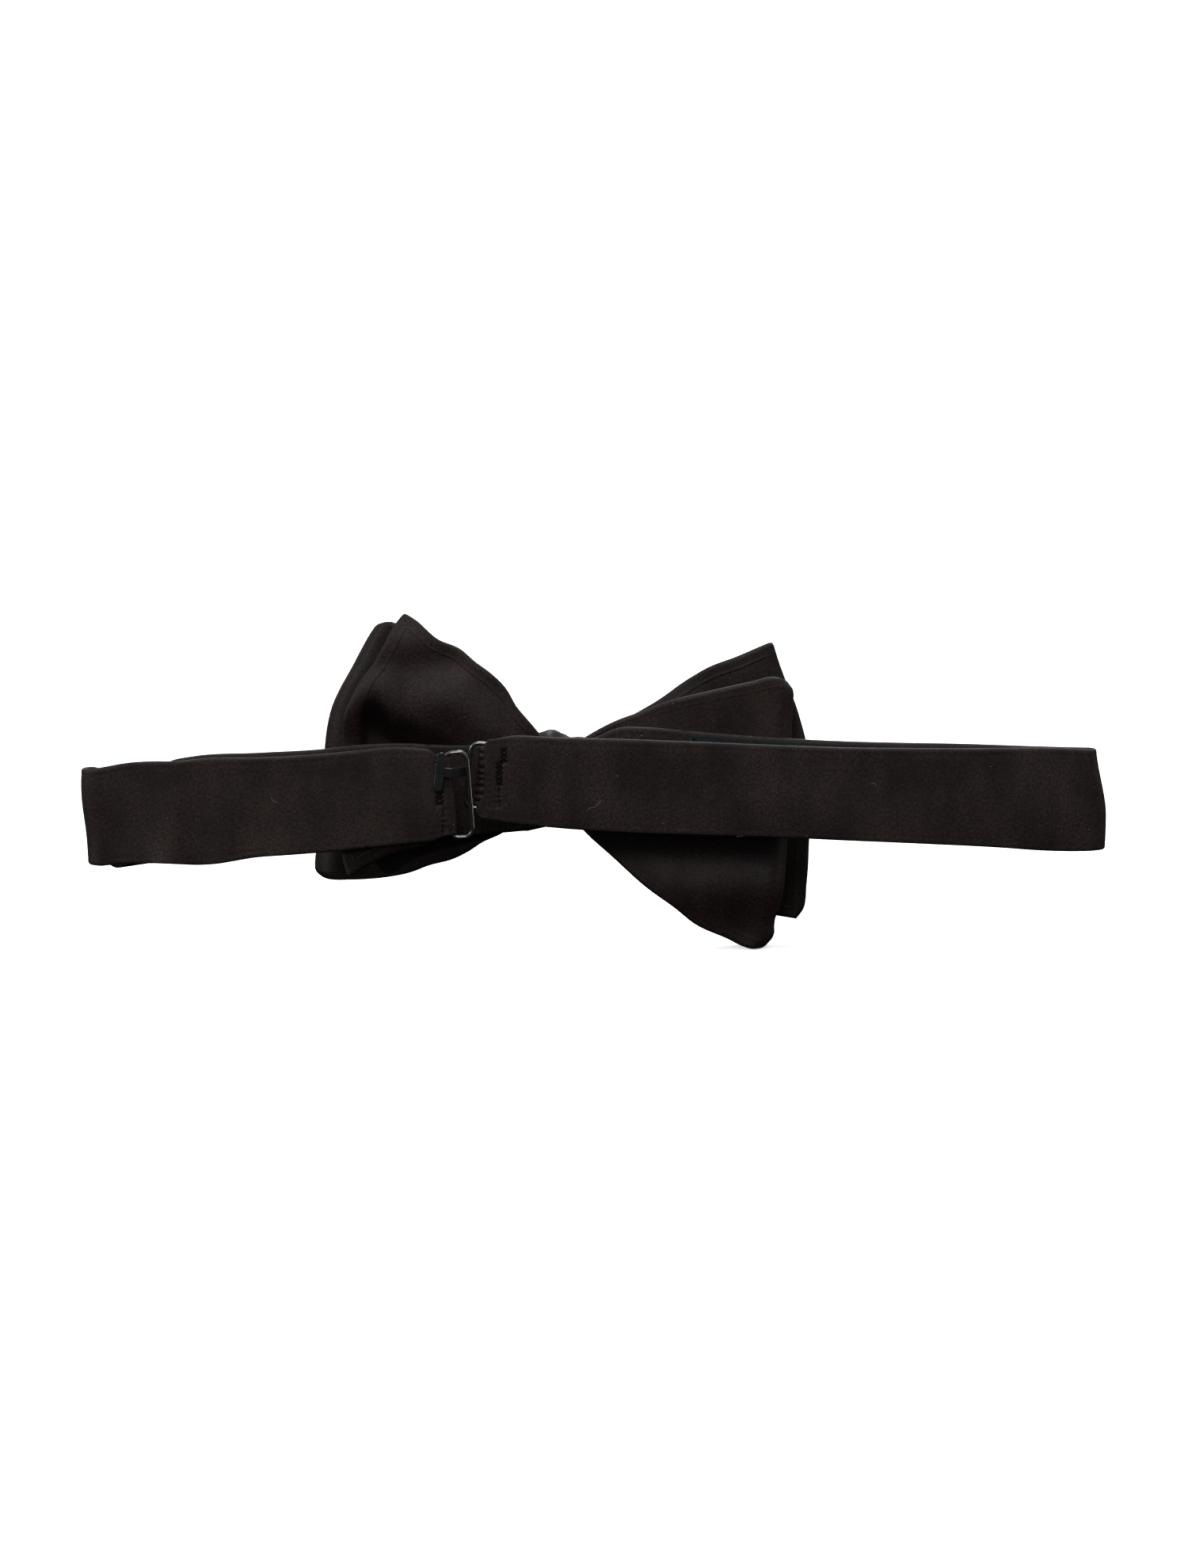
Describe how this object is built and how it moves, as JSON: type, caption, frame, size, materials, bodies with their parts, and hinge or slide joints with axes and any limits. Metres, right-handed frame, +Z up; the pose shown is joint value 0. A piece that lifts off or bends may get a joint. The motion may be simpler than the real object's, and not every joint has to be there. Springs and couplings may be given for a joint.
{
  "type": "bow tie",
  "caption": "Hand-tied bow tie in dark satin: two loops and two sewn ends in a wrapped knot, on a folded adjustable neckband closed by a T-hook and ring.",
  "frame": {"origin": "middle of the back of the knot, where it sits on the collar stud", "axes": "+Z up as worn, -Y out of the front of the bow, +X towards the wearer's left"},
  "size_m": [0.2265, 0.0382, 0.074],
  "materials": {
    "satin": "very dark brown matte satin",
    "interlining": "unbleached woven canvas",
    "tape": "greenish-black woven tape",
    "thread": "black sewing thread",
    "hardware": "glossy black enamelled steel"
  },
  "bodies": {
    "bow": {"collar_strap": "satin", "front_end_back_fabric": "satin", "front_end_front_fabric": "satin", "front_end_interlining": "interlining", "front_loop_inner_fabric": "satin", "front_loop_interlining": "interlining", "front_loop_outer_fabric": "satin", "knot_core": "satin", "knot_wrap": "satin", "rear_end_back_fabric": "satin", "rear_end_front_fabric": "satin", "rear_end_interlining": "interlining", "rear_loop_inner_fabric": "satin", "rear_loop_interlining": "interlining", "rear_loop_outer_fabric": "satin"},
    "right_rear_strap": {"right_rear_band": "satin", "right_rear_interlining": "interlining", "size_tape": "tape", "tape_stitches": "thread"},
    "right_front_strap": {"right_front_band": "satin", "right_front_interlining": "interlining", "hook_end_stitches": "thread"},
    "left_rear_strap": {"left_rear_band": "satin", "left_rear_interlining": "interlining"},
    "left_front_strap": {"left_front_band": "satin", "left_front_interlining": "interlining", "ring_end_stitches": "thread"},
    "hook": {"t_hook": "hardware"},
    "eye": {"ring": "hardware"},
    "adjuster": {"slider": "hardware", "slider_tab": "satin", "slider_tab_stitches": "thread"}
  },
  "joints": [
    {"name": "neck_loop_open", "type": "hinge", "parent": "bow", "child": "right_rear_strap", "pos_m": [-0.0075, -0.0007, 0.0025], "axis": [0, 0, -1], "range_deg": [0, 20]},
    {"name": "right_fold", "type": "hinge", "parent": "right_rear_strap", "child": "right_front_strap", "pos_m": [-0.11926, 0.00686, -0.0021], "axis": [0, 0, 1], "range_deg": [0, 28.38]},
    {"name": "left_swing", "type": "hinge", "parent": "bow", "child": "left_rear_strap", "pos_m": [0.0075, -0.0007, -0.0009], "axis": [0, 0, 1], "range_deg": [0, 13]},
    {"name": "left_fold", "type": "hinge", "parent": "left_rear_strap", "child": "left_front_strap", "pos_m": [0.10096, 0.00776, -0.006], "axis": [0, 0, -1], "range_deg": [0, 40.73]},
    {"name": "hook_tilt", "type": "hinge", "parent": "right_front_strap", "child": "hook", "pos_m": [0.01407, 0.01136, 0.0033], "axis": [-0.1045, 0, 0.9945], "range_deg": [-6, 0]},
    {"name": "ring_tilt", "type": "hinge", "parent": "left_front_strap", "child": "eye", "pos_m": [0.02362, 0.01314, -0.0006], "axis": [0.0785, 0, 0.9969], "range_deg": [0, 16]},
    {"name": "slider_slide", "type": "slide", "parent": "left_rear_strap", "child": "adjuster", "axis": [0.9964, 0.0592, -0.0609], "range_m": [-0.034, 0]}
  ],
  "couplings": [
    {"joint": "right_fold", "follows": "neck_loop_open", "ratio": 1.4188},
    {"joint": "left_swing", "follows": "neck_loop_open", "ratio": 0.65},
    {"joint": "left_fold", "follows": "neck_loop_open", "ratio": 2.0362},
    {"joint": "hook_tilt", "follows": "neck_loop_open", "ratio": -0.3},
    {"joint": "ring_tilt", "follows": "neck_loop_open", "ratio": 0.8}
  ]
}
